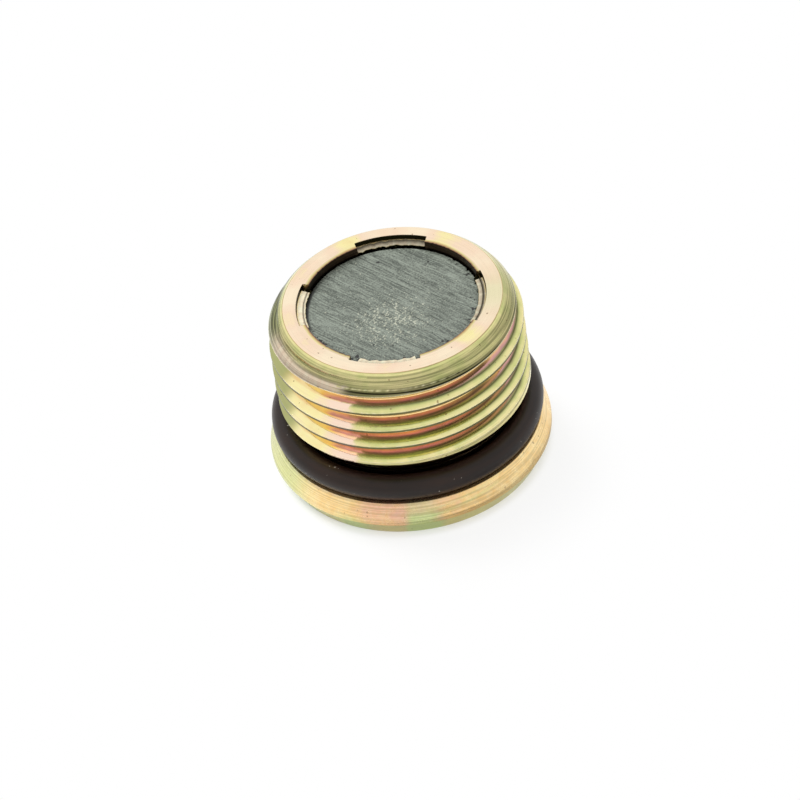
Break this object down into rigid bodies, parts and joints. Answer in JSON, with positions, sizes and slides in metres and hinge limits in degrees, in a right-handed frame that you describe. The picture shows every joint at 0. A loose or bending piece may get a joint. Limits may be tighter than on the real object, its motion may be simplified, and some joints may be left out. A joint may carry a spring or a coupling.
{
  "type": "magnetic drain plug",
  "caption": "Flanged screw plug with a hexagon socket, a staked disc magnet in its nose and a rubber seal ring under the head.",
  "frame": {"origin": "centre of the head's outer flat face, which the plug stands on", "axes": "+Z along the thread's axis from the head towards the magnet, -Y is the front as pictured"},
  "size_m": [0.02, 0.02, 0.0135],
  "materials": {
    "plated_steel": "yellow chromate over zinc plate, rolled and turned steel",
    "ferrite": "ground ferrite, matte",
    "seal_rubber": "smooth moulded fluoro rubber, brown"
  },
  "bodies": {
    "root": {"plug_body": "plated_steel", "magnet": "ferrite", "seal_ring": "seal_rubber"}
  },
  "joints": []
}
